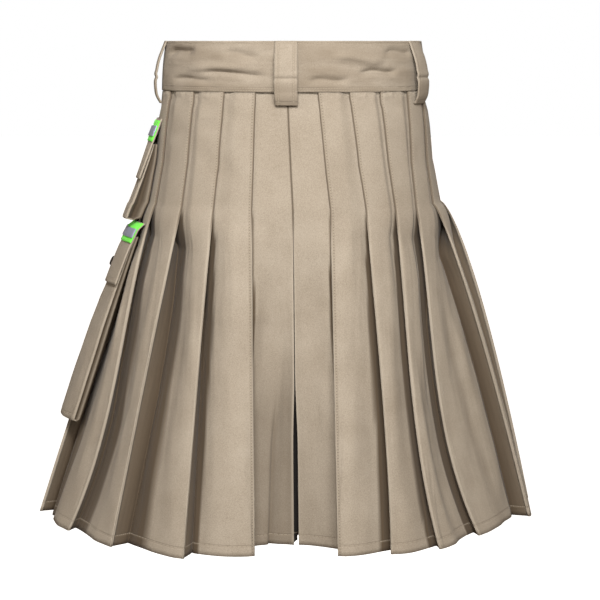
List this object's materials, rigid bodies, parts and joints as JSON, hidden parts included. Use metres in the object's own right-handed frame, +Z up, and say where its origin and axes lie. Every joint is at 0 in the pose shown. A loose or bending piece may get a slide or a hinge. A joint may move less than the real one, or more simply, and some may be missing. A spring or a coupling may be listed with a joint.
{
  "type": "utility kilt",
  "caption": "Pleated work kilt in khaki twill, filled out as worn: waistband with belt loops, front aprons, knife pleats sewn to the hip, and flapped side pockets with reflective tape.",
  "frame": {"origin": "centre of the waist ring at half the height of the waistband", "axes": "+Z up the wearer, +Y to the back of the garment, +X to the wearer's left; the front apron faces -Y"},
  "size_m": [0.6493, 0.44, 0.61],
  "materials": {
    "twill": "khaki cotton twill, matt, washed",
    "lime_tape": "fluorescent lime woven tape",
    "silver_strip": "retroreflective silver strip, sewn on",
    "snap_metal": "dark oxidised snap cap, satin"
  },
  "bodies": {
    "root": {"waistband": "twill", "pleats_left": "twill", "pleats_right": "twill", "over_apron": "twill", "under_apron": "twill", "belt_loop_back": "twill", "belt_loop_left": "twill", "belt_loop_right": "twill", "upper_pocket_bag": "twill", "upper_pocket_flap": "twill", "upper_tape": "lime_tape", "upper_tape_strip": "silver_strip", "upper_pocket_snap": "snap_metal", "lower_pocket_bag": "twill", "lower_pocket_flap": "twill", "lower_tape": "lime_tape", "lower_tape_strip": "silver_strip", "lower_pocket_snap": "snap_metal", "band_snap_top": "snap_metal", "band_snap_low": "snap_metal"}
  },
  "joints": []
}
